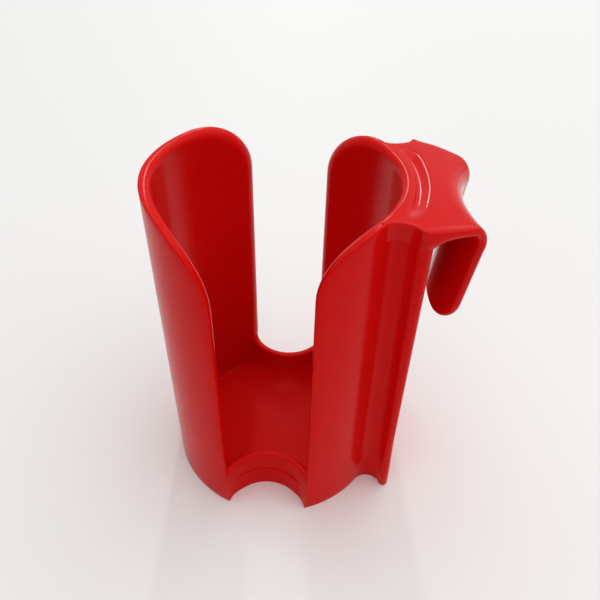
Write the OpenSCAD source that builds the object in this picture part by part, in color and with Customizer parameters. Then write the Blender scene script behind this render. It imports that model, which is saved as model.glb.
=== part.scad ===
// Clip-on test tube holder: an open-sided cup with a hook that hangs over the edge of a panel.
// The cup's axis is Z, with the base at Z = 0. The front slot faces -Y and the hook is on the +X side.

/* [Cup] */
// Outside diameter of the cup
cup_d = 34.4; // [30:0.2:44]
// Height of the cup from its base to its rim
cup_h = 51; // [44:0.5:70]
// Thickness of the cup's side walls
wall = 1.6; // [1:0.1:2.4]
// Thickness of the floor
floor_t = 1; // [0.8:0.1:2.5]

/* [Slots] */
// Width of the front and rear slots
slot_w = 12; // [10:0.5:14]
// Radius of the left wall's front corner
left_corner_r = 11; // [6:0.5:11]
// Radius of the right wall's front corner
right_corner_r = 8; // [5:0.5:11]
// Radius of each wall's rear corner
rear_corner_r = 8; // [4:0.5:11]

/* [Flutes] */
// Height of the half-round flute that closes the foot of each slot
flute_h = 7.1; // [5:0.1:10]
// Thickness of the flutes' walls
flute_wall = 1.3; // [1:0.1:2]
// Distance from the cup's outside to each flute's axis
flute_set = 0.8; // [0.4:0.1:1.5]
// How much the radius of a flute exceeds half of the slot's width
flute_ease = 0.2; // [0.1:0.05:0.5]
// Height of the step on the face of each flute, below which the face stands proud
step_h = 3.6; // [2:0.1:4.5]
// Depth of the step on the face of each flute
step_d = 0.2; // [0.1:0.05:0.4]

/* [Back plate] */
// Distance from the cup's outside to the plate's flat face
plate_reach = 1.9; // [1.8:0.05:4]
// Width of the plate at its foot
plate_w_foot = 21.2; // [20:0.2:23]
// Width of the plate at its top
plate_w_top = 23.4; // [22:0.2:25]
// Width of the solid web between the grooves at the foot
web_w_foot = 17.7; // [16:0.1:18.5]
// Width of the solid web between the grooves at the top
web_w_top = 19.3; // [18:0.1:20]
// Radius of each groove beside the web at the foot
groove_r_foot = 2.3; // [1.8:0.05:2.5]
// Radius of each groove beside the web at the top
groove_r_top = 2; // [1.6:0.05:2.3]

/* [Hook] */
// Thickness of the bridge over the panel
bridge_t = 2; // [1.5:0.1:3]
// Distance from the cup's outside to where the bridge starts to narrow
taper_set = 0.6; // [0:0.1:2]
// Clear gap between the plate and the tip of the tongue
hook_gap = 2.2; // [1.2:0.05:3.5]
// Inward lean of the tongue, in degrees
tongue_lean = 5; // [0:0.5:7]
// Thickness of the tongue
tongue_t = 1.2; // [1:0.05:1.8]
// Distance from the rim down to the tip of the tongue
tongue_drop = 17.6; // [15:0.2:24]
// Width of the tongue at its root
tongue_w_root = 16; // [14:0.2:19]
// Width of the tongue at its tip, before the corners are rounded
tongue_w_tip = 15.2; // [12:0.2:17]
// Radius of the corners at the tip of the tongue
tip_r = 4.5; // [2.5:0.25:5.5]
// Radius of the hollow in the tongue's outer face
scoop_r = 20; // [16:1:60]
// Radius of the rounded edge over the top of the tongue
hook_edge_r = 1.9; // [0.6:0.05:1.95]

/* [Hidden] */
$fn = 96;
// Overlap that makes each cut run clear of the faces it opens
cut = 1;
cup_r = cup_d / 2;
bore_r = cup_r - wall;
half_slot = slot_w / 2;
flute_r = half_slot + flute_ease;
flute_y = cup_r + flute_set;
// Largest corner that the width of a wall leaves room for
corner_limit = cup_r - half_slot;
// Plate, bridge and tongue, counted outwards along X
plate_x = cup_r + plate_reach;
bridge_z = cup_h - bridge_t;
tip_z = cup_h - tongue_drop;
taper_x = cup_r + taper_set;
tongue_x = plate_x + hook_gap + (bridge_z - tip_z) * tan(tongue_lean) + tongue_t / cos(tongue_lean);
scoop_x = tongue_x + scoop_r;
hook_x = scoop_x - sqrt(scoop_r^2 - (tongue_w_root / 2)^2);
// Axis of each groove at the foot and at the top, tangent to the cup all the way up
groove_foot_y = web_w_foot / 2 + groove_r_foot;
groove_top_y = web_w_top / 2 + groove_r_top;
groove_foot_x = sqrt((cup_r + groove_r_foot)^2 - groove_foot_y^2);
groove_top_x = sqrt((cup_r + groove_r_top)^2 - groove_top_y^2);
web_angle = min(atan2(groove_foot_y, groove_foot_x), atan2(groove_top_y, groove_top_x));
// Slope of the tongue's sides, and the centre and tangent point of its tip corner
tip_slope = (tongue_w_root - tongue_w_tip) / 2 / (bridge_z - tip_z);
tip_lean = atan(tip_slope);
tip_centre = [tongue_w_tip / 2 + tip_slope * tip_r - tip_r / cos(tip_lean), tip_z + tip_r];
tip_side = tip_centre + tip_r * [cos(tip_lean), -sin(tip_lean)];
shell_red = [0.80, 0.02, 0.02];

// Whole ring of the cup, before the slots open it
module cup_ring() {
    difference() {
        cylinder(h = cup_h, r = cup_r);
        translate([0, 0, -cut]) cylinder(h = cup_h + 2 * cut, r = bore_r);
    }
}

// Outline of the wall on the +X side, seen along Y: a straight slot edge with a round corner at the rim
module wall_outline(corner_r) {
    r = min(corner_r, corner_limit);
    translate([half_slot, 0]) square([cup_r, cup_h - r]);
    translate([half_slot + r, 0]) square([cup_r, cup_h]);
    translate([half_slot + r, cup_h - r]) circle(r = r);
}

// One side wall of the cup, on the +X side
module side_wall(front_r) {
    intersection() {
        cup_ring();
        union() {
            rotate([90, 0, 0]) linear_extrude(height = cup_r + cut) wall_outline(front_r);
            translate([0, cup_r + cut, 0])
                rotate([90, 0, 0]) linear_extrude(height = cup_r + cut) wall_outline(rear_corner_r);
        }
    }
}

module left_wall() {
    color(shell_red) mirror([1, 0, 0]) side_wall(left_corner_r);
}

module right_wall() {
    color(shell_red) side_wall(right_corner_r);
}

module cup_floor() {
    color(shell_red) difference() {
        cylinder(h = floor_t, r = bore_r);
        for (side = [-1, 1])
            translate([0, side * flute_y, -cut]) cylinder(h = floor_t + 2 * cut, r = flute_r + flute_wall);
    }
}

// Half-round wall at the foot of the front slot, hollow towards the outside
module flute() {
    difference() {
        intersection() {
            translate([0, -flute_y, 0]) cylinder(h = flute_h, r = flute_r + flute_wall);
            cylinder(h = flute_h, r = cup_r);
        }
        translate([0, -flute_y, -cut]) cylinder(h = flute_h + 2 * cut, r = flute_r);
        translate([0, -flute_y, step_h]) cylinder(h = flute_h, r = flute_r + step_d);
        left_wall();
        right_wall();
    }
}

module front_flute() {
    color(shell_red) flute();
}

module rear_flute() {
    color(shell_red) mirror([0, 1, 0]) flute();
}

// One groove between the cup and the plate's edge, on the +Y side, leaning and tapering up its height
module groove() {
    lean = [groove_top_x - groove_foot_x, groove_top_y - groove_foot_y, cup_h];
    taper = (groove_r_top - groove_r_foot) / norm(lean);
    translate([groove_foot_x, groove_foot_y, 0])
        rotate([0, acos(lean.z / norm(lean)), atan2(lean.y, lean.x)])
            translate([0, 0, -cut])
                cylinder(h = norm(lean) + 2 * cut, r1 = groove_r_foot - cut * taper, r2 = groove_r_top + cut * taper);
}

// Space that the plate and the bridge leave free: the cup itself and the two grooves
module cup_and_grooves() {
    translate([0, 0, -cut]) cylinder(h = cup_h + 2 * cut, r = cup_r);
    for (side = [0, 1]) mirror([0, side, 0]) groove();
}

// Wedge from the cup's axis to the grooves, which bounds the web on both sides
module web_wedge(reach) {
    linear_extrude(height = cup_h)
        polygon([[0, 0], [reach, -reach * tan(web_angle)], [reach, reach * tan(web_angle)]]);
}

module back_plate() {
    color(shell_red) difference() {
        intersection() {
            web_wedge(plate_x);
            rotate([90, 0, 90]) linear_extrude(height = plate_x)
                polygon([[-plate_w_foot / 2, 0], [plate_w_foot / 2, 0], [plate_w_top / 2, bridge_z],
                         [-plate_w_top / 2, bridge_z]]);
        }
        cup_and_grooves();
    }
}

// Cutter that rounds the edge between the bridge's top and the tongue's outer face
module edge_cutter() {
    translate([scoop_x, 0, cup_h - hook_edge_r]) rotate_extrude() difference() {
        square([scoop_r + hook_edge_r, hook_edge_r + cut]);
        translate([scoop_r + hook_edge_r, 0]) circle(r = hook_edge_r);
    }
}

// Outline of the bridge seen from above, as wide as the plate at the cup and as the tongue at its outer end
module bridge_outline() {
    polygon([[0, -plate_w_top / 2], [taper_x, -plate_w_top / 2], [hook_x, -tongue_w_root / 2],
             [hook_x, tongue_w_root / 2], [taper_x, plate_w_top / 2], [0, plate_w_top / 2]]);
}

module hook_bridge() {
    color(shell_red) difference() {
        intersection() {
            web_wedge(hook_x);
            translate([0, 0, bridge_z]) linear_extrude(height = bridge_t) bridge_outline();
        }
        cup_and_grooves();
        translate([scoop_x, 0, bridge_z - cut]) cylinder(h = bridge_t + 2 * cut, r = scoop_r);
        edge_cutter();
    }
}

// Outline of the tongue seen along X, before its tip is rounded
module tongue_outline() {
    polygon([[-tongue_w_root / 2, bridge_z], [tongue_w_root / 2, bridge_z],
             [tongue_w_tip / 2, tip_z], [-tongue_w_tip / 2, tip_z]]);
}

// Cutter that rounds the corner of the tip on the +Y side, drawn in the same view
module tip_cutter() {
    difference() {
        polygon([tip_centre, tip_side, [tip_side.x + cut, tip_side.y], [tip_side.x + cut, tip_z - cut],
                 [tip_centre.x, tip_z - cut]]);
        translate(tip_centre) circle(r = tip_r);
    }
}

// Leaning drum that bounds the tongue: its outer face at radius scoop_r, its inner face tongue_t further out
module leaning_drum(r, over) {
    translate([tongue_x, 0, bridge_z]) rotate([0, tongue_lean, 0])
        translate([scoop_r, 0, -tongue_drop - over]) cylinder(h = tongue_drop + bridge_t + 2 * over, r = r);
}

module hook_tongue() {
    color(shell_red) difference() {
        intersection() {
            translate([plate_x, 0, 0])
                rotate([90, 0, 90]) linear_extrude(height = hook_x - plate_x + cut) tongue_outline();
            difference() {
                leaning_drum(scoop_r + tongue_t, cut);
                leaning_drum(scoop_r, 2 * cut);
            }
        }
        for (side = [0, 1])
            mirror([0, side, 0]) rotate([90, 0, 90]) linear_extrude(height = hook_x + 2 * cut) tip_cutter();
    }
}

left_wall();
right_wall();
cup_floor();
front_flute();
rear_flute();
back_plate();
hook_bridge();
hook_tongue();
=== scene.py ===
"""Clip-on test tube holder in glossy red plastic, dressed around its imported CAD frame."""

import logging
import math
from dataclasses import dataclass, field
from enum import Enum

import bmesh
import bpy
from mathutils import Matrix, Vector
from mathutils.kdtree import KDTree

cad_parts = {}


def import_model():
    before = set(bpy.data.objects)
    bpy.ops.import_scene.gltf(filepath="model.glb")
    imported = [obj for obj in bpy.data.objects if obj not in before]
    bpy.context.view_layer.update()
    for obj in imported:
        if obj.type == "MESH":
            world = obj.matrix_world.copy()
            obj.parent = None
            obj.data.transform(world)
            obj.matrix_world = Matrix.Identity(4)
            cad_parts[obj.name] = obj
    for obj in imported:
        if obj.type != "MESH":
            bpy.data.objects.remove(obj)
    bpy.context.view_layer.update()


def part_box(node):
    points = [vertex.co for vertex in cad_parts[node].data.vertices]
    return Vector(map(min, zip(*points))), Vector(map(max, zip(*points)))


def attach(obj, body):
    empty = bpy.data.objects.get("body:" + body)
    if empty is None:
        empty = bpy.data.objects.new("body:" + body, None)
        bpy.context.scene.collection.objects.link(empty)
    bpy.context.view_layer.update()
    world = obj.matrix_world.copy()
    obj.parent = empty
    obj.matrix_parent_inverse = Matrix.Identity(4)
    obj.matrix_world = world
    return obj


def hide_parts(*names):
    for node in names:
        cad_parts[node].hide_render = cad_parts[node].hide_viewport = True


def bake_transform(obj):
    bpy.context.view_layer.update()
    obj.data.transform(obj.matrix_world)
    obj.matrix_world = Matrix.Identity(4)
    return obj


LOG = logging.getLogger("tube_holder")

# Metres in a millimetre
MM = 0.001

# Millimetres within which two places count as one, and a cut counts as through a vertex
SAME_PLACE = 0.001
CUT_GAP = 1e-6

# Decimals of a millimetre by which a vertex is found again
PLACE_DIGITS = 6

# Point that the lamps look at, in metres
LAMP_TARGET = (0.0, 0.0, 0.025)


class Side(Enum):
    """Which side of the cup a wall stands on, as the sign of its X."""

    LEFT = -1
    RIGHT = 1


class Slot(Enum):
    """Which of the cup's two slots, as the sign of its Y."""

    FRONT = -1
    REAR = 1


@dataclass(frozen=True)
class Dimensions:
    """Sizes shared by the pieces, in millimetres, most of them read from the CAD frame."""

    cup_r: float
    cup_h: float
    wall: float
    floor_t: float
    flute_h: float
    plate_x: float
    plate_w_top: float
    bridge_z: float
    tip_z: float
    hook_x: float
    flute_out: float = 0.8
    flute_r: float = 6.2
    flute_wall: float = 1.3

    @classmethod
    def from_frame(cls) -> "Dimensions":
        """Read the sizes off the boxes of the CAD nodes.

        Returns:
            The shared sizes.
        """
        wall_low, wall_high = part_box("left_wall")
        floor_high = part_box("cup_floor")[1]
        plate_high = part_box("back_plate")[1]
        tongue_low, tongue_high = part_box("hook_tongue")
        return cls(
            cup_r=-wall_low.x / MM,
            cup_h=wall_high.z / MM,
            wall=(-wall_low.x - floor_high.x) / MM,
            floor_t=floor_high.z / MM,
            flute_h=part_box("front_flute")[1].z / MM,
            plate_x=plate_high.x / MM,
            plate_w_top=2 * plate_high.y / MM,
            bridge_z=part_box("hook_bridge")[0].z / MM,
            tip_z=tongue_low.z / MM,
            hook_x=tongue_high.x / MM,
        )

    @property
    def bore_r(self) -> float:
        """Inside radius of the cup."""
        return self.cup_r - self.wall

    @property
    def middle_r(self) -> float:
        """Radius at the middle of the cup's wall."""
        return self.cup_r - self.wall / 2

    @property
    def flute_y(self) -> float:
        """Distance of a flute's axis from the cup's axis."""
        return self.cup_r + self.flute_out


def ramp(value: float, low: float, high: float) -> float:
    """Smooth step from 0 at low to 1 at high."""
    t = min(max((value - low) / (high - low), 0.0), 1.0)
    return t * t * (3 - 2 * t)


def arc(centre: Vector, radius: float, start: float, end: float, steps: int) -> list[Vector]:
    """Points along an arc in a plane.

    Args:
        centre: centre of the arc, as a 2-D vector.
        radius: radius of the arc.
        start: first angle, in degrees.
        end: last angle, in degrees.
        steps: number of steps between the first point and the last.

    Returns:
        The points, both ends included.
    """
    turns = [math.radians(start + (end - start) * i / steps) for i in range(steps + 1)]
    return [centre + radius * Vector((math.cos(t), math.sin(t))) for t in turns]


def sharp_edges(bm: bmesh.types.BMesh, least_degrees: float) -> list[bmesh.types.BMEdge]:
    """Edges at which two faces meet at an angle or more.

    Args:
        bm: the mesh.
        least_degrees: smallest angle between the faces' normals.

    Returns:
        The edges found.
    """
    bm.normal_update()
    least = math.radians(least_degrees)
    return [e for e in bm.edges if len(e.link_faces) == 2 and e.calc_face_angle() > least]


def round_edges(bm: bmesh.types.BMesh, edges: list[bmesh.types.BMEdge], radius: float, segments: int) -> None:
    """Round edges over with a bevel that is radius wide on each face, in so many strips."""
    bmesh.ops.bevel(bm, geom=edges, offset=radius, offset_type="OFFSET", segments=segments, profile=0.5,
                    affect="EDGES", material=-1, clamp_overlap=True)


def new_verts(result: dict) -> list[bmesh.types.BMVert]:
    """Vertices that an extrude operator has made."""
    return [g for g in result["geom"] if isinstance(g, bmesh.types.BMVert)]


def grow_rings(bm: bmesh.types.BMesh, rings: list[list[Vector]]) -> None:
    """Grow a closed solid through a row of rings that have as many points each.

    Args:
        bm: the empty mesh.
        rings: the rings' points in order, the first ring closing one end and the last ring the other.
    """
    face = bm.faces.new([bm.verts.new(p) for p in rings[0]])
    for level, ring in enumerate(rings[1:]):
        grown = bmesh.ops.extrude_face_region(bm, geom=[face], use_keep_orig=True)["geom"]
        if level > 0:
            bmesh.ops.delete(bm, geom=[face], context="FACES_ONLY")
        face = next(g for g in grown if isinstance(g, bmesh.types.BMFace))
        for vert, point in zip(face.verts, ring):
            vert.co = point
    bmesh.ops.recalc_face_normals(bm, faces=bm.faces)


def make_piece(name: str, bm: bmesh.types.BMesh, material: bpy.types.Material,
               crease_degrees: float = 40.0) -> bpy.types.Object:
    """Turn a bmesh in millimetres into an object of the scene.

    Args:
        name: name of the new object.
        bm: the mesh, which is freed.
        material: finish of the whole piece.
        crease_degrees: edges sharper than this keep a hard line.

    Returns:
        The new object, at the origin, with its place in its mesh.
    """
    bmesh.ops.scale(bm, vec=(MM, MM, MM), verts=bm.verts)
    for face in bm.faces:
        face.smooth = True
    for edge in sharp_edges(bm, crease_degrees):
        edge.smooth = False
    mesh = bpy.data.meshes.new(name)
    bm.to_mesh(mesh)
    bm.free()
    mesh.materials.append(material)
    piece = bpy.data.objects.new(name, mesh)
    bpy.context.scene.collection.objects.link(piece)
    LOG.info("%s: %d faces", name, len(mesh.polygons))
    return piece


@dataclass(frozen=True)
class MouldedSurface:
    """Faint clouds, haze and ripples that moulding leaves, as one node group for all the finishes."""

    cloud_scale: float = 60.0
    cloud_detail: float = 3.0
    haze_scale: float = 240.0
    haze_detail: float = 2.0
    haze_low: float = 0.3
    haze_high: float = 0.7
    ripple_scale: float = 110.0
    ripple_detail: float = 0.0

    def build(self) -> bpy.types.NodeTree:
        """Make the node group.

        Returns:
            The group, which gives a colour, a roughness and the height of the ripples.
        """
        group = bpy.data.node_groups.new("moulded_surface", "ShaderNodeTree")
        self.add_sockets(group)
        given = group.nodes.new("NodeGroupInput")
        made = group.nodes.new("NodeGroupOutput")
        cloud = self.add_noise(group, given, self.cloud_scale, self.cloud_detail)
        haze = self.add_noise(group, given, self.haze_scale, self.haze_detail)
        ripple = self.add_noise(group, given, self.ripple_scale, self.ripple_detail)
        tint = group.nodes.new("ShaderNodeMix")
        tint.data_type = "RGBA"
        group.links.new(cloud.outputs["Fac"], tint.inputs["Factor"])
        group.links.new(given.outputs["Deep"], tint.inputs["A"])
        group.links.new(given.outputs["Bright"], tint.inputs["B"])
        group.links.new(tint.outputs["Result"], made.inputs["Colour"])
        gloss = group.nodes.new("ShaderNodeMapRange")
        gloss.inputs["From Min"].default_value = self.haze_low
        gloss.inputs["From Max"].default_value = self.haze_high
        group.links.new(haze.outputs["Fac"], gloss.inputs["Value"])
        group.links.new(given.outputs["Roughness Low"], gloss.inputs["To Min"])
        group.links.new(given.outputs["Roughness High"], gloss.inputs["To Max"])
        group.links.new(gloss.outputs["Result"], made.inputs["Roughness"])
        group.links.new(ripple.outputs["Fac"], made.inputs["Height"])
        return group

    @staticmethod
    def add_sockets(group: bpy.types.NodeTree) -> None:
        """Give the group its named inputs and outputs.

        Args:
            group: the empty group.
        """
        colour = "NodeSocketColor"
        value = "NodeSocketFloat"
        takes = {"Place": "NodeSocketVector", "Deep": colour, "Bright": colour,
                 "Roughness Low": value, "Roughness High": value}
        gives = {"Colour": colour, "Roughness": value, "Height": value}
        for name, kind in takes.items():
            group.interface.new_socket(name, in_out="INPUT", socket_type=kind)
        for name, kind in gives.items():
            group.interface.new_socket(name, in_out="OUTPUT", socket_type=kind)

    @staticmethod
    def add_noise(group: bpy.types.NodeTree, given: bpy.types.Node, scale: float,
                  detail: float) -> bpy.types.Node:
        """Add one noise at the place that the group is given.

        Args:
            group: the group.
            given: the group's input node.
            scale: how fine the noise is.
            detail: number of finer layers in it.

        Returns:
            The noise node.
        """
        noise = group.nodes.new("ShaderNodeTexNoise")
        noise.inputs["Scale"].default_value = scale
        noise.inputs["Detail"].default_value = detail
        group.links.new(given.outputs["Place"], noise.inputs["Vector"])
        return noise


@dataclass(frozen=True)
class RedPlastic:
    """Moulded plastic, red right through."""

    name: str
    roughness_low: float
    roughness_high: float
    deep: tuple[float, float, float] = (0.66, 0.0030, 0.0026)
    bright: tuple[float, float, float] = (0.71, 0.0046, 0.0036)
    specular: float = 0.06
    ior: float = 1.49
    ripple_height: float = 0.00003

    def build(self, surface: bpy.types.NodeTree) -> bpy.types.Material:
        """Make the material.

        Args:
            surface: the node group of the moulded surface.

        Returns:
            The new material.
        """
        material = bpy.data.materials.new(self.name)
        material.use_nodes = True
        nodes = material.node_tree.nodes
        links = material.node_tree.links
        shader = nodes["Principled BSDF"]
        shader.inputs["IOR"].default_value = self.ior
        shader.inputs["Specular IOR Level"].default_value = self.specular
        place = nodes.new("ShaderNodeTexCoord")
        moulded = nodes.new("ShaderNodeGroup")
        moulded.node_tree = surface
        moulded.inputs["Deep"].default_value = (*self.deep, 1.0)
        moulded.inputs["Bright"].default_value = (*self.bright, 1.0)
        moulded.inputs["Roughness Low"].default_value = self.roughness_low
        moulded.inputs["Roughness High"].default_value = self.roughness_high
        links.new(place.outputs["Object"], moulded.inputs["Place"])
        links.new(moulded.outputs["Colour"], shader.inputs["Base Color"])
        links.new(moulded.outputs["Roughness"], shader.inputs["Roughness"])
        bump = nodes.new("ShaderNodeBump")
        bump.inputs["Distance"].default_value = self.ripple_height
        links.new(moulded.outputs["Height"], bump.inputs["Height"])
        links.new(bump.outputs["Normal"], shader.inputs["Normal"])
        return material


@dataclass
class CupWall:
    """One curved side wall of the cup, with round rim corners and slots that taper a little to the rear."""

    sizes: Dimensions
    side: Side
    front_corner_r: float
    rear_corner_r: float = 8.0
    slot_w: float = 12.0
    front_flare: float = 0.35
    rear_flare: float = -0.18
    flare_fade: float = 1.5
    outer_round: float = 0.22
    outer_segments: int = 3
    inner_round: float = 1.0
    inner_segments: int = 6
    edge_degrees: float = 55.0
    border: float = 1.35
    straight_from: float = 33.0
    corner_steps: int = 30
    column_degrees: float = 3.0
    rows: int = 8

    def angle_at(self, x: float) -> float:
        """Angle in degrees between the X axis and the outside's point at distance x from the Y axis."""
        return math.degrees(math.acos(min(x / self.sizes.cup_r, 1.0)))

    def flare_at(self, y: float, z: float) -> float:
        """Taper of a slot's edge: none beside the flutes, and all of it above them.

        Args:
            y: any Y on the slot's side of the cup.
            z: height on the slot's edge.

        Returns:
            How much further from the Y axis the edge lies outside than inside.
        """
        top = self.sizes.flute_h
        flare = self.front_flare if y < 0 else self.rear_flare
        return flare * ramp(z, top - self.flare_fade, top + self.flare_fade)

    def slot_edge(self, slot: Slot) -> list[Vector]:
        """Points of a slot's edge where its taper sets in, as angle in degrees and height."""
        heights = [self.sizes.flute_h + self.flare_fade * i / 2 for i in range(-2, 3)]
        return [Vector((self.angle_at(self.slot_w / 2 + self.flare_at(slot.value, z)), z)) for z in heights]

    def corner(self, slot: Slot, radius: float) -> list[Vector]:
        """One round corner, from a slot's edge up to the rim.

        Args:
            slot: the slot that the corner belongs to.
            radius: radius of the corner, seen along Y.

        Returns:
            Points as the angle from the X axis in degrees, and the height.
        """
        slot_x = self.slot_w / 2 + self.flare_at(slot.value, self.sizes.cup_h)
        most = math.acos(max(1 - (self.sizes.cup_r - slot_x) / radius, 0.0))
        points = []
        for i in range(self.corner_steps + 1):
            share = i / self.corner_steps
            turn = most * share * (2 - share)
            x = slot_x + radius * (1 - math.cos(turn))
            points.append(Vector((self.angle_at(x), self.sizes.cup_h - radius + radius * math.sin(turn))))
        return points

    def outline(self) -> list[Vector]:
        """Edge of the unrolled wall, with room for the border at the corners of its foot.

        Returns:
            Points as angle in degrees and height, counter-clockwise from the front foot.
        """
        slot_angle = self.angle_at(self.slot_w / 2)
        columns = round(2 * slot_angle / self.column_degrees)
        roomy = [0, *range(2, columns - 1), columns]
        foot = [Vector((-slot_angle + 2 * slot_angle * i / columns, 0.0)) for i in roomy]
        rear = self.slot_edge(Slot.REAR) + self.corner(Slot.REAR, self.rear_corner_r)
        front = self.slot_edge(Slot.FRONT) + self.corner(Slot.FRONT, self.front_corner_r)
        front = [Vector((-p.x, p.y)) for p in reversed(front)]
        gap = rear[-1].x - front[0].x
        spans = max(round(gap / self.column_degrees), 1)
        rim = [Vector((rear[-1].x - gap * i / spans, self.sizes.cup_h)) for i in range(1, spans)]
        return foot + rear + rim + front

    def wrap(self, point: Vector) -> Vector:
        """Place on the cup's outside of a point of the unrolled wall, in arc length and height."""
        turn = point.x / self.sizes.cup_r
        return Vector((self.sizes.cup_r * math.cos(turn), self.sizes.cup_r * math.sin(turn), point.z))

    def bore_place(self, point: Vector) -> Vector:
        """Place on the bore that lies straight across the wall from a point of the outside.

        Args:
            point: point on the cup's outside.

        Returns:
            The point of the bore level with it: straight across near the slots, and evenly spread between.
        """
        angle = math.atan2(point.y, point.x)
        least = math.radians(self.straight_from)
        across = max(abs(angle), least)
        level_x = self.sizes.cup_r * math.cos(across) - self.flare_at(point.y, point.z)
        inner = math.acos(min(level_x / self.sizes.bore_r, 1.0))
        inner = math.copysign(inner * min(abs(angle) / least, 1.0), angle)
        return Vector((self.sizes.bore_r * math.cos(inner), self.sizes.bore_r * math.sin(inner), point.z))

    def build(self, material: bpy.types.Material) -> bpy.types.Object:
        """Model the wall.

        Args:
            material: finish of the wall.

        Returns:
            The wall's object.
        """
        bm = bmesh.new()
        stretch = math.radians(self.sizes.cup_r)
        sheet = bm.faces.new([bm.verts.new((p.x * stretch, 0.0, p.y)) for p in self.outline()])
        bm.normal_update()
        bmesh.ops.inset_region(bm, faces=[sheet], thickness=self.border,
                               use_boundary=True, use_even_offset=True)
        self.cut_grid(bm, sheet)
        for vert in bm.verts:
            vert.co = self.wrap(vert.co)
        for vert in new_verts(bmesh.ops.extrude_face_region(bm, geom=bm.faces[:], use_keep_orig=True)):
            vert.co = self.bore_place(vert.co)
        bmesh.ops.recalc_face_normals(bm, faces=bm.faces)
        self.round_rim(bm)
        if self.side is Side.LEFT:
            bmesh.ops.scale(bm, vec=(-1.0, 1.0, 1.0), verts=bm.verts)
            bmesh.ops.reverse_faces(bm, faces=bm.faces)
        return make_piece(f"{self.side.name.lower()}_wall_shell", bm, material)

    def round_rim(self, bm: bmesh.types.BMesh) -> None:
        """Round the wall's edges, the inner ones more than the outer ones.

        Args:
            bm: the mesh of the wall with sharp edges.
        """
        middle = self.sizes.middle_r
        edges = sharp_edges(bm, self.edge_degrees)
        inner = [e for e in edges if all(v.co.xy.length < middle for v in e.verts)]
        round_edges(bm, inner, self.inner_round, self.inner_segments)
        edges = sharp_edges(bm, self.edge_degrees)
        outer = [e for e in edges if all(v.co.xy.length > middle for v in e.verts)]
        round_edges(bm, outer, self.outer_round, self.outer_segments)

    def cut_grid(self, bm: bmesh.types.BMesh, sheet: bmesh.types.BMFace) -> None:
        """Cut the middle of the unrolled wall into columns and rows.

        Args:
            bm: the mesh.
            sheet: the face inside the border.
        """
        faces = [sheet]
        half = max(v.co.x for v in sheet.verts)
        columns = round(2 * half / (math.radians(self.column_degrees) * self.sizes.cup_r))
        cuts = [((-half + 2 * half * i / columns, 0, 0), (1, 0, 0)) for i in range(1, columns)]
        cuts += [((0, 0, self.sizes.cup_h * i / self.rows), (0, 0, 1)) for i in range(1, self.rows)]
        for place, normal in cuts:
            edges = list({e for f in faces for e in f.edges})
            verts = list({v for f in faces for v in f.verts})
            result = bmesh.ops.bisect_plane(bm, geom=faces + edges + verts, dist=CUT_GAP,
                                            plane_co=place, plane_no=normal)
            faces = [g for g in result["geom"] if isinstance(g, bmesh.types.BMFace)]


@dataclass
class CupFloor:
    """Thin floor of the cup, with a small fillet up the walls and hollowed where the two flutes stand."""

    sizes: Dimensions
    fillet: float = 0.6
    fillet_steps: int = 5
    buried: float = 1.25
    wall_steps: int = 44
    hollow_steps: int = 24
    crease_degrees: float = 60.0

    @property
    def hollow_r(self) -> float:
        """Radius of the hollow for a flute, at the middle of the flute's wall."""
        return self.sizes.flute_r + self.sizes.flute_wall / 2

    def outline(self, reach: float) -> list[Vector]:
        """Plan outline, out to a radius and round the flutes.

        Args:
            reach: radius of the two round sides.

        Returns:
            Points counter-clockwise, from the front end of the right side.
        """
        flute_y = self.sizes.flute_y
        meet_y = (reach**2 - self.hollow_r**2 + flute_y**2) / (2 * flute_y)
        meet_x = math.sqrt(reach**2 - meet_y**2)
        wall_end = math.degrees(math.atan2(meet_y, meet_x))
        flute_end = math.degrees(math.atan2(flute_y - meet_y, meet_x))
        right = arc(Vector((0.0, 0.0)), reach, -wall_end, wall_end, self.wall_steps)
        rear = arc(Vector((0.0, flute_y)), self.hollow_r, -flute_end, flute_end - 180.0, self.hollow_steps)
        half = right[:-1] + rear[:-1]
        return half + [-p for p in half]

    def build(self, material: bpy.types.Material) -> bpy.types.Object:
        """Model the floor.

        Args:
            material: finish of the floor.

        Returns:
            The floor's object.
        """
        buried_r = self.sizes.bore_r + self.buried
        rings = [(buried_r, 0.0), (buried_r, self.sizes.floor_t + self.fillet)]
        for step in range(self.fillet_steps + 1):
            turn = math.pi / 2 * step / self.fillet_steps
            inward = self.fillet * (1 - math.cos(turn))
            upward = self.fillet * (1 - math.sin(turn))
            rings.append((self.sizes.bore_r - inward, self.sizes.floor_t + upward))
        bm = bmesh.new()
        grow_rings(bm, [[Vector((*p, z)) for p in self.outline(reach)] for reach, z in rings])
        return make_piece("cup_floor_disc", bm, material, self.crease_degrees)


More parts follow.
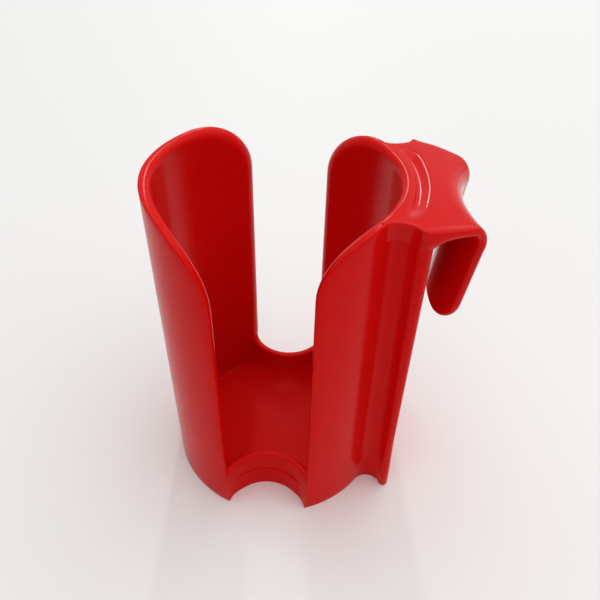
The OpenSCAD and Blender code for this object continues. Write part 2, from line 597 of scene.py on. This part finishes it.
@dataclass
class Flute:
    """Half-round wall at the foot of a slot, hollow towards the outside and swept into the cup's floor."""

    sizes: Dimensions
    slot: Slot
    end_rise: float
    step_h: float = 3.6
    step_d: float = 0.2
    step_round: float = 0.12
    step_ends: tuple[float, float] = (40.0, 58.0)
    edge_round: float = 0.4
    sweep_r: float = 4.0
    half_turn: float = 71.0
    ledge_steps: int = 4
    lip_steps: int = 3
    rim_steps: int = 5
    sweep_steps: int = 10
    steps: int = 48
    crease_degrees: float = 30.0

    def profile(self) -> list[Vector]:
        """Section through the flute, as distance from its axis and height.

        Returns:
            Points round the section, from the foot of the hollow face.
        """
        radius = self.sizes.flute_r
        inner = radius + self.step_d
        outer = radius + self.sizes.flute_wall
        top = self.sizes.flute_h
        soft = self.edge_round
        ledge = Vector((radius + self.step_round, self.step_h - self.step_round))
        points = [Vector((radius, 0.0))] + arc(ledge, self.step_round, 180.0, 90.0, self.ledge_steps)
        points.append(Vector((inner, self.step_h)))
        points += arc(Vector((inner + soft / 2, top - soft / 2)), soft / 2, 180.0, 90.0, self.lip_steps)
        points += arc(Vector((outer - soft, top - soft)), soft, 90.0, 0.0, self.rim_steps)
        sweep = Vector((outer + self.sweep_r, self.sizes.floor_t + self.sweep_r))
        points += arc(sweep, self.sweep_r, 180.0, 270.0, self.sweep_steps)
        points.append(Vector((outer + self.sweep_r, 0.0)))
        return points

    def settle(self, point: Vector) -> Vector:
        """Fade the step out sideways, keep the sweep in the cup's wall and raise the top at the slot's edges.

        Args:
            point: point of the spun flute, with the flute's axis at the origin.

        Returns:
            The point's final place, with the cup's axis at the origin.
        """
        distance = point.xy.length
        turn = abs(math.degrees(math.atan2(point.x, point.y)))
        face_r = self.sizes.flute_r + self.step_d
        if distance < face_r:
            faded = distance + (face_r - distance) * ramp(turn, *self.step_ends)
            point = Vector((*(point.xy * faded / distance), point.z))
        place = Vector((point.x, point.y - self.sizes.flute_y, point.z))
        along = distance * math.radians(self.half_turn - turn)
        near = min(max(1 - along / (2 * self.end_rise), 0.0), 1.0)
        lifted = ramp(point.z, self.sizes.flute_h - 2 * self.edge_round, self.sizes.flute_h - self.edge_round)
        place.z += lifted * self.end_rise * (1 - math.sqrt(1 - near**2))
        reach = self.sizes.middle_r
        swept = distance > self.sizes.flute_r + self.sizes.flute_wall + SAME_PLACE
        if swept and place.xy.length > reach:
            place.xy = place.xy * reach / place.xy.length
        return place

    def build(self, material: bpy.types.Material) -> bpy.types.Object:
        """Model the flute.

        Args:
            material: finish of the flute.

        Returns:
            The flute's object.
        """
        bm = bmesh.new()
        turn = math.radians(90.0 - self.half_turn)
        verts = [bm.verts.new((p.x * math.cos(turn), p.x * math.sin(turn), p.y)) for p in self.profile()]
        face = bm.faces.new(verts)
        bmesh.ops.spin(bm, geom=[face, *face.edges, *face.verts], cent=(0, 0, 0), axis=(0, 0, 1),
                       dvec=(0, 0, 0), angle=math.radians(2 * self.half_turn), steps=self.steps,
                       use_duplicate=False)
        for vert in bm.verts:
            vert.co = self.settle(vert.co)
        bmesh.ops.recalc_face_normals(bm, faces=bm.faces)
        if self.slot is Slot.REAR:
            bmesh.ops.rotate(bm, cent=(0, 0, 0), matrix=Matrix.Rotation(math.pi, 3, "Z"), verts=bm.verts)
        return make_piece(f"{self.slot.name.lower()}_flute_wall", bm, material, self.crease_degrees)


@dataclass
class BackPlate:
    """Flat plate behind the cup, joined to it by a web between two grooves."""

    sizes: Dimensions
    width_foot: float = 21.2
    web_w_foot: float = 17.7
    web_w_top: float = 19.3
    groove_r_foot: float = 2.3
    groove_r_top: float = 2.0
    foot_flare: float = 0.3
    flare_h: float = 14.0
    foot_round: float = 0.25
    foot_segments: int = 3
    foot_degrees: float = 60.0
    top_sink: float = 0.8
    levels: int = 16
    groove_steps: int = 22
    lip_steps: int = 12
    buried_steps: int = 14
    lip_guess: float = 0.5
    lip_rounds: int = 8
    crease_degrees: float = 50.0

    def at(self, foot: float, top: float, z: float) -> float:
        """Value at height z of a size that changes evenly from the foot to the rim."""
        return foot + (top - foot) * z / self.sizes.cup_h

    def groove_and_lip(self, z: float) -> list[Vector]:
        """Plan outline of the groove and the lip at a height, on the +Y side.

        Args:
            z: the height.

        Returns:
            Points from the cup's outside, round the groove and the lip, to the plate's face.
        """
        radius = self.at(self.groove_r_foot, self.groove_r_top, z)
        groove_y = self.at(self.web_w_foot, self.web_w_top, z) / 2 + radius
        groove_x = math.sqrt((self.sizes.cup_r + radius) ** 2 - groove_y**2)
        half_width = self.at(self.width_foot, self.sizes.plate_w_top, z) / 2
        centre = Vector((groove_x, groove_y))
        bearing = math.degrees(math.atan2(groove_y, groove_x))
        face_x = self.sizes.plate_x + self.foot_flare * ramp(-z, -self.flare_h, 0.0)
        lip = self.lip_radius(centre, radius, half_width, face_x)
        lip_y = half_width - lip
        end = math.degrees(math.asin(max(min((lip_y - groove_y) / radius, 1.0), -1.0)))
        hollow = arc(centre, radius, bearing - 180.0, end, self.groove_steps)
        edge = arc(Vector((face_x - lip, lip_y)), lip, 180.0, 0.0, self.lip_steps)
        return hollow + edge[1:]

    def lip_radius(self, centre: Vector, radius: float, half_width: float, face_x: float) -> float:
        """Radius of the full round along the lip's edge.

        Args:
            centre: centre of the groove.
            radius: radius of the groove.
            half_width: half of the plate's width.
            face_x: X of the plate's face at the lip.

        Returns:
            Half of the lip's thickness where its round edge starts.
        """
        lip = self.lip_guess
        for _ in range(self.lip_rounds):
            rise = (half_width - lip - centre.y) / radius
            lip = (face_x - centre.x - radius * math.sqrt(max(1 - rise**2, 0.0))) / 2
        return lip

    def outline(self, z: float) -> list[Vector]:
        """Whole plan outline at a height.

        Args:
            z: the height.

        Returns:
            Points in order, from the middle of the cup's wall on the X axis.
        """
        edge = self.groove_and_lip(z)
        bearing = math.degrees(math.atan2(edge[0].y, edge[0].x))
        buried = arc(Vector((0.0, 0.0)), self.sizes.middle_r, 0.0, bearing, self.buried_steps)
        half = buried[1:] + edge
        end = Vector((self.sizes.plate_x, 0.0))
        return buried[:1] + [Vector((p.x, -p.y)) for p in half] + [end] + list(reversed(half))

    def build(self, material: bpy.types.Material) -> bpy.types.Object:
        """Model the plate.

        Args:
            material: finish of the plate.

        Returns:
            The plate's object.
        """
        bm = bmesh.new()
        top = self.sizes.cup_h - self.top_sink
        heights = [top * level / self.levels for level in range(self.levels + 1)]
        grow_rings(bm, [[Vector((*p, z)) for p in self.outline(z)] for z in heights])
        edges = sharp_edges(bm, self.foot_degrees)
        foot = [e for e in edges if max(v.co.z for v in e.verts) < SAME_PLACE]
        round_edges(bm, foot, self.foot_round, self.foot_segments)
        return make_piece("back_plate_web", bm, material, self.crease_degrees)


@dataclass
class Hook:
    """One bent sheet: the bridge from the rim over the panel, the bend, and the tongue that hangs from it."""

    sizes: Dimensions
    plate: BackPlate
    tongue_t: float = 1.2
    bridge_t: float = 1.45
    root_swell: float = 1.15
    root_fade: float = 0.9
    scoop_r: float = 16.5
    lean: float = 5.0
    bend_r: float = 2.6
    root_half_w: float = 8.2
    tip_half_w: float = 7.6
    tip_r: float = 4.5
    droop: float = 0.6
    narrowing: float = 1.5
    notch_fill: float = 0.5
    trough_depth: float = 0.6
    trough_r: tuple[float, float, float] = (17.1, 17.7, 19.4)
    trough_y: tuple[float, float] = (6.2, 8.8)
    trough_shift: float = 6.0
    inner_r: float = 16.6
    lift: float = 0.012
    edge_round: float = 0.58
    edge_cuts: int = 7
    groove_round: float = 0.3
    groove_segments: int = 4
    groove_degrees: float = 50.0
    top_stations: int = 44
    bend_stations: int = 12
    tongue_stations: int = 16
    tip_stations: int = 12
    half_rows: tuple[float, ...] = (0.16, 0.31, 0.46, 0.58, 0.69, 0.78, 0.86, 0.93, 1.0)
    rows: list[float] = field(init=False)
    rim_edge: list[Vector] = field(init=False)

    def __post_init__(self) -> None:
        """Mirror the rows, and take the outline of the groove and the lip at the rim from the plate."""
        self.rows = [-row for row in reversed(self.half_rows)] + [0.0, *self.half_rows]
        self.rim_edge = self.plate.groove_and_lip(self.sizes.cup_h)

    @property
    def tongue_x(self) -> float:
        """X of the middle of the tongue's outer face at its root."""
        return self.sizes.hook_x - self.sag(self.root_half_w - self.edge_round)

    def sag(self, y: float) -> float:
        """How far the hollow outer face stands out at y, beyond its middle."""
        return self.scoop_r - math.sqrt(self.scoop_r**2 - y**2)

    def groove_y(self, x: float) -> float:
        """Half of the web's width at the rim, round the groove.

        Args:
            x: place along the web.

        Returns:
            The half width there.
        """
        hollow = [p for p in self.rim_edge if p.x <= self.lip_top.x]
        for before, after in zip(hollow, hollow[1:]):
            if before.x <= x <= after.x and after.x > before.x:
                return before.y + (after.y - before.y) * (x - before.x) / (after.x - before.x)
        return hollow[0].y if x < hollow[0].x else hollow[-1].y

    @property
    def web_start(self) -> Vector:
        """Point at the rim where the groove leaves the cup's outside."""
        return self.rim_edge[0]

    @property
    def lip_top(self) -> Vector:
        """Widest point of the plate's lip at the rim."""
        return max(self.rim_edge, key=lambda p: p.y)

    def side_y(self, x: float) -> float:
        """Half of the bridge's width: over the partly filled groove, then narrowing to the bend.

        Args:
            x: place along the bridge.

        Returns:
            The half width there.
        """
        start, lip = self.web_start, self.lip_top
        if x <= start.x:
            return start.y
        if x <= lip.x:
            straight = start.y + (lip.y - start.y) * ramp(x, start.x, lip.x)
            return straight * self.notch_fill + self.groove_y(x) * (1 - self.notch_fill)
        return self.narrowed(x - lip.x)

    def narrowed(self, along: float) -> float:
        """Half of the sheet's width past the lip, down to the tongue's width.

        Args:
            along: length along the sheet from the lip.

        Returns:
            The half width there.
        """
        share = min(along / (self.flat_length + self.bend_length), 1.0)
        eased = math.sin(math.pi / 2 * share) ** self.narrowing
        return self.lip_top.y + (self.root_half_w - self.lip_top.y) * eased

    @property
    def flat_length(self) -> float:
        """Length of the bridge from the lip to the bend, at its sides."""
        return self.bridge_end(self.root_half_w) - self.lip_top.x

    @property
    def bend_length(self) -> float:
        """Length round the bend."""
        return self.bend_r * math.radians(90.0 + self.lean)

    def bridge_end(self, y: float) -> float:
        """X at which the bend starts, at y."""
        return self.tongue_x + self.sag(y) - self.bend_r

    def top_z(self, x: float, y: float) -> float:
        """Height of the bridge's top, with its shallow trough and its droop towards the outer end.

        Args:
            x: place along the bridge.
            y: place across the bridge.

        Returns:
            The height there.
        """
        low, bottom, high = self.trough_r
        away = math.hypot(x + self.trough_shift, y) - self.trough_shift
        trough = ramp(away, low, bottom) * (1 - ramp(away, bottom, high))
        trough *= 1 - ramp(abs(y), *self.trough_y)
        drooped = max(x - low, 0.0) / self.droop_span
        return self.sizes.cup_h + self.lift - self.trough_depth * trough - self.droop * drooped**2

    @property
    def droop_span(self) -> float:
        """Length over which the bridge droops, from the rim to the bend."""
        return self.bridge_end(self.root_half_w) - self.trough_r[0]

    def droop_slope(self, x: float) -> float:
        """Slope of the bridge's droop at x."""
        return 2 * self.droop * max(x - self.trough_r[0], 0.0) / self.droop_span**2

    def top_row(self, share: float) -> list[Vector]:
        """Cross row of the bridge's top.

        Args:
            share: place along the bridge, from 0 at the rim to 1 where the bend starts.

        Returns:
            Points from the -Y side to the +Y side.
        """
        start_y = self.web_start.y
        start_x = math.sqrt(self.inner_r**2 - start_y**2)
        edge_x = start_x + (self.bridge_end(self.root_half_w) - start_x) * share
        half = self.side_y(edge_x) - self.edge_reach(edge_x)
        end_half = self.narrowed(self.flat_length) - self.edge_round
        points = []
        for row in self.rows:
            first = math.sqrt(self.inner_r**2 - (row * start_y) ** 2)
            last = self.bridge_end(row * end_half)
            x = first + (last - first) * share
            points.append(Vector((x, row * half, self.top_z(x, row * half))))
        return points

    def bend_row(self, share: float) -> list[Vector]:
        """Cross row of the bend.

        Args:
            share: place round the bend, from 0 at the bridge to 1 at the tongue.

        Returns:
            Points from the -Y side to the +Y side.
        """
        half = self.narrowed(self.flat_length + self.bend_length * share) - self.edge_round
        points = []
        for row in self.rows:
            y = row * half
            base = self.bridge_end(y)
            start = math.atan(self.droop_slope(base))
            turn = start + (math.radians(90.0 + self.lean) - start) * share
            radius = self.bend_r / (1 - math.sin(start))
            x = base + radius * (math.sin(turn) - math.sin(start))
            z = self.top_z(base, y) - radius * (math.cos(start) - math.cos(turn))
            points.append(Vector((x, y, z)))
        return points

    @property
    def end_z(self) -> float:
        """Height at which the tongue's flat faces end, above the round edge of its tip."""
        return self.sizes.tip_z + self.edge_round

    @property
    def end_r(self) -> float:
        """Radius of the corners at the end of the tongue's flat faces."""
        return self.tip_r - self.edge_round

    def tongue_half(self, z: float, root_z: float) -> float:
        """Half of the width of the tongue's flat faces, with their round corners at the tip.

        Args:
            z: height on the tongue.
            root_z: height of the tongue's root.

        Returns:
            The half width there.
        """
        grown = (z - self.end_z) / (root_z - self.end_z)
        straight = self.tip_half_w + (self.root_half_w - self.tip_half_w) * grown - self.edge_round
        depth = self.end_z + self.end_r - z
        if depth <= 0:
            return straight
        return straight - self.end_r + math.sqrt(max(self.end_r**2 - depth**2, 0.0))

    def edge_reach(self, x: float) -> float:
        """How far the round edge stands out at x: not at all over the groove, and fully past the lip."""
        return self.edge_round * ramp(x, self.lip_top.x - self.edge_round, self.lip_top.x + self.edge_round)

    def tongue_row(self, share: float, root: list[Vector]) -> list[Vector]:
        """Cross row of the tongue.

        Args:
            share: place down the tongue, from 0 at the bend to 1 at the tip.
            root: the last row of the bend.

        Returns:
            Points from the -Y side to the +Y side.
        """
        middle = root[len(root) // 2]
        points = []
        for row, start in zip(self.rows, root):
            z = start.z + (self.end_z - start.z) * share
            y = row * self.tongue_half(z, start.z)
            x = middle.x + self.sag(y) - (middle.z - z) * math.tan(math.radians(self.lean))
            points.append(Vector((x, y, z)))
        return points

    def outer_rows(self) -> list[list[Vector]]:
        """Lay out the sheet's outer face.

        Returns:
            Its cross rows, from the rim to the tip.
        """
        rows = [self.top_row(i / self.top_stations) for i in range(self.top_stations)]
        rows += [self.bend_row(i / self.bend_stations) for i in range(self.bend_stations + 1)]
        root = rows[-1]
        tip_start = 1 - self.end_r / (root[0].z - self.end_z)
        for i in range(1, self.tongue_stations + 1):
            rows.append(self.tongue_row(tip_start * i / self.tongue_stations, root))
        for i in range(1, self.tip_stations + 1):
            turn = math.pi / 2 * i / self.tip_stations
            rows.append(self.tongue_row(tip_start + (1 - tip_start) * math.sin(turn), root))
        return rows

    def under(self, point: Vector, normal: Vector) -> Vector:
        """Place on the sheet's inner face under a point of its outer face.

        Args:
            point: point of the outer face.
            normal: the outer face's normal there.

        Returns:
            The point of the inner face, drawn in to the groove where the sheet crosses it.
        """
        thickness = self.tongue_t
        if point.z > self.sizes.bridge_z:
            thin = ramp(point.x, self.sizes.plate_x, self.sizes.hook_x)
            swell = self.root_swell * math.exp(-max(point.x - self.sizes.plate_x, 0.0) / self.root_fade)
            thickness = self.bridge_t + (self.tongue_t - self.bridge_t) * thin + swell
        place = point - normal * thickness
        if point.x < self.lip_top.x:
            place.x, place.y = point.x, point.y * self.groove_y(point.x) / self.side_y(point.x)
        return place

    def build(self, material: bpy.types.Material) -> bpy.types.Object:
        """Model the hook.

        Args:
            material: finish of the hook.

        Returns:
            The hook's object.
        """
        rows = self.outer_rows()
        bm = bmesh.new()
        verts = [bm.verts.new(p) for p in rows[0]]
        edges = [bm.edges.new(pair) for pair in zip(verts, verts[1:])]
        for row in rows[1:]:
            grown = bmesh.ops.extrude_edge_only(bm, edges=edges)["geom"]
            edges = [g for g in grown if isinstance(g, bmesh.types.BMEdge)]
            ends = sorted({v for e in edges for v in e.verts}, key=lambda v: v.co.y)
            for vert, point in zip(ends, row):
                vert.co = point
        bmesh.ops.recalc_face_normals(bm, faces=bm.faces)
        bm.faces.ensure_lookup_table()
        if bm.faces[0].normal.z < 0:
            bmesh.ops.reverse_faces(bm, faces=bm.faces)
        bm.normal_update()
        below = {v.co.to_tuple(PLACE_DIGITS): self.under(v.co, v.normal) for v in bm.verts}
        inner = new_verts(bmesh.ops.extrude_face_region(bm, geom=bm.faces[:], use_keep_orig=True))
        for vert in inner:
            vert.co = below[vert.co.to_tuple(PLACE_DIGITS)]
        bmesh.ops.recalc_face_normals(bm, faces=bm.faces)
        self.roll_edges(bm, set(inner))
        round_edges(bm, self.groove_edges(bm), self.groove_round, self.groove_segments)
        return make_piece("hook_sheet", bm, material)

    def roll_edges(self, bm: bmesh.types.BMesh, inner: set[bmesh.types.BMVert]) -> None:
        """Bulge the sheet's side faces out into a round edge.

        Args:
            bm: the mesh of the plain sheet.
            inner: vertices of its inner face.
        """
        bm.normal_update()
        across = []
        flat_places = []
        round_places = []
        for edge in bm.edges:
            top, low = sorted(edge.verts, key=lambda v: v in inner)
            reach = self.edge_reach(top.co.x)
            if top in inner or low not in inner or reach == 0:
                continue
            across.append(edge)
            outward = sum((f.normal for f in edge.link_faces), Vector()).normalized()
            for cut in range(1, self.edge_cuts + 1):
                share = cut / (self.edge_cuts + 1)
                turn = math.pi * share
                flat_places.append(top.co.lerp(low.co, share))
                sunk = top.co.lerp(low.co, (1 - math.cos(turn)) / 2)
                round_places.append(sunk + outward * reach * math.sin(turn))
        nearest = KDTree(len(flat_places))
        for index, place in enumerate(flat_places):
            nearest.insert(place, index)
        nearest.balance()
        bmesh.ops.subdivide_edges(bm, edges=across, cuts=self.edge_cuts, use_grid_fill=True)
        for vert in bm.verts:
            _, index, distance = nearest.find(vert.co)
            if distance < SAME_PLACE:
                vert.co = round_places[index]

    def groove_edges(self, bm: bmesh.types.BMesh) -> list[bmesh.types.BMEdge]:
        """Edges of the bridge's top along the two grooves."""
        edges = sharp_edges(bm, self.groove_degrees)
        return [e for e in edges if all(self.along_groove(v.co) for v in e.verts)]

    def along_groove(self, place: Vector) -> bool:
        """Tell whether a point of a sharp edge lies along one of the two grooves, at the bridge's top.

        Args:
            place: the point.

        Returns:
            True beyond the rim and before the lip, near the top.
        """
        beyond_rim = place.xy.length > self.inner_r + self.groove_round
        before_lip = self.edge_reach(place.x) == 0
        return beyond_rim and before_lip and place.z > self.sizes.cup_h - self.groove_round


@dataclass(frozen=True)
class PhotoCamera:
    """Camera at the photograph's view, in millimetres and degrees."""

    place: tuple[float, float, float] = (8.16, -66.5, 86.8)
    yaw: float = 4.17
    pitch: float = 40.39
    roll: float = 1.52
    focal_px: float = 589.8
    frame_px: float = 600.0
    sensor: float = 36.0

    def build(self) -> None:
        """Make the camera and set it as the scene's."""
        yaw, pitch, roll = (math.radians(a) for a in (self.yaw, self.pitch, self.roll))
        ahead = Vector((-math.sin(yaw) * math.cos(pitch), math.cos(yaw) * math.cos(pitch), -math.sin(pitch)))
        right = ahead.cross(Vector((0, 0, 1))).normalized()
        up = right.cross(ahead)
        turned_right = math.cos(roll) * right + math.sin(roll) * up
        turned_up = -math.sin(roll) * right + math.cos(roll) * up
        data = bpy.data.cameras.new("photo_camera")
        data.sensor_width = self.sensor
        data.lens = self.focal_px / self.frame_px * self.sensor
        data.clip_start = MM
        camera = bpy.data.objects.new("photo_camera", data)
        axes = Matrix((turned_right, turned_up, -ahead)).transposed()
        camera.matrix_world = Matrix.Translation(Vector(self.place) * MM) @ axes.to_4x4()
        bpy.context.scene.collection.objects.link(camera)
        bpy.context.scene.camera = camera


@dataclass(frozen=True)
class Lamp:
    """One soft rectangular lamp that looks at the holder."""

    name: str
    place: tuple[float, float, float]
    width: float
    height: float
    power: float

    def build(self) -> None:
        """Make the lamp and aim it."""
        data = bpy.data.lights.new(self.name, "AREA")
        data.shape = "RECTANGLE"
        data.size = self.width
        data.size_y = self.height
        data.energy = self.power
        lamp = bpy.data.objects.new(self.name, data)
        lamp.location = self.place
        aim = Vector(LAMP_TARGET) - Vector(self.place)
        lamp.rotation_euler = aim.to_track_quat("-Z", "Y").to_euler()
        bpy.context.scene.collection.objects.link(lamp)


@dataclass(frozen=True)
class Studio:
    """Pale floor, even surroundings and soft lamps."""

    floor_colour: tuple[float, float, float] = (0.865, 0.86, 0.85)
    floor_size: float = 6.0
    floor_roughness: float = 0.6
    surround: float = 0.22
    surround_seen: float = 0.8
    lamps: tuple[Lamp, ...] = (
        Lamp("ceiling", (0.20, 0.05, 1.0), 2.2, 2.2, 19.0),
        Lamp("rear_tube", (-0.08, 0.75, 0.50), 0.025, 0.25, 0.8),
    )

    def build(self) -> None:
        """Make the floor, the world and the lamps."""
        for lamp in self.lamps:
            lamp.build()
        self.build_world()
        self.build_floor()

    def build_world(self) -> None:
        """Light everything evenly from all round, with a paler surround where it is seen or mirrored."""
        world = bpy.data.worlds.new("studio")
        bpy.context.scene.world = world
        world.use_nodes = True
        nodes = world.node_tree.nodes
        links = world.node_tree.links
        back = nodes["Background"]
        back.inputs["Color"].default_value = (1.0, 1.0, 1.0, 1.0)
        path = nodes.new("ShaderNodeLightPath")
        seen = nodes.new("ShaderNodeMath")
        seen.operation = "MAXIMUM"
        links.new(path.outputs["Is Camera Ray"], seen.inputs[0])
        links.new(path.outputs["Is Glossy Ray"], seen.inputs[1])
        strength = nodes.new("ShaderNodeMapRange")
        strength.inputs["To Min"].default_value = self.surround
        strength.inputs["To Max"].default_value = self.surround_seen
        links.new(seen.outputs["Value"], strength.inputs["Value"])
        links.new(strength.outputs["Result"], back.inputs["Strength"])

    def build_floor(self) -> None:
        """Lay the pale floor under the holder."""
        bm = bmesh.new()
        bmesh.ops.create_grid(bm, x_segments=1, y_segments=1, size=self.floor_size / 2)
        mesh = bpy.data.meshes.new("floor")
        bm.to_mesh(mesh)
        bm.free()
        material = bpy.data.materials.new("floor_paint")
        material.use_nodes = True
        shader = material.node_tree.nodes["Principled BSDF"]
        shader.inputs["Base Color"].default_value = (*self.floor_colour, 1.0)
        shader.inputs["Roughness"].default_value = self.floor_roughness
        mesh.materials.append(material)
        floor = bpy.data.objects.new("floor", mesh)
        bpy.context.scene.collection.objects.link(floor)


def main() -> None:
    """Build the holder's pieces, dress them and set the stage."""
    logging.basicConfig(level=logging.INFO, format="%(name)s: %(message)s")
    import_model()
    sizes = Dimensions.from_frame()
    surface = MouldedSurface().build()
    gloss = RedPlastic("red_gloss", roughness_low=0.08, roughness_high=0.13, specular=0.1).build(surface)
    sheen = RedPlastic("red_sheen", roughness_low=0.18, roughness_high=0.24).build(surface)
    satin = RedPlastic("red_satin", roughness_low=0.34, roughness_high=0.42).build(surface)
    plate = BackPlate(sizes)
    holder_pieces = {
        "left_wall": CupWall(sizes, Side.LEFT, front_corner_r=11.0).build(sheen),
        "right_wall": CupWall(sizes, Side.RIGHT, front_corner_r=8.0).build(sheen),
        "cup_floor": CupFloor(sizes).build(satin),
        "front_flute": Flute(sizes, Slot.FRONT, end_rise=0.1).build(satin),
        "rear_flute": Flute(sizes, Slot.REAR, end_rise=1.3).build(satin),
        "back_plate": plate.build(sheen),
    }
    for node, piece in holder_pieces.items():
        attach(piece, "holder")
        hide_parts(node)
    hook = Hook(sizes, plate).build(gloss)
    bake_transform(hook)
    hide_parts("hook_bridge", "hook_tongue")
    PhotoCamera().build()
    Studio().build()
    bpy.context.scene.view_settings.view_transform = "Standard"


if __name__ == "__main__":
    main()
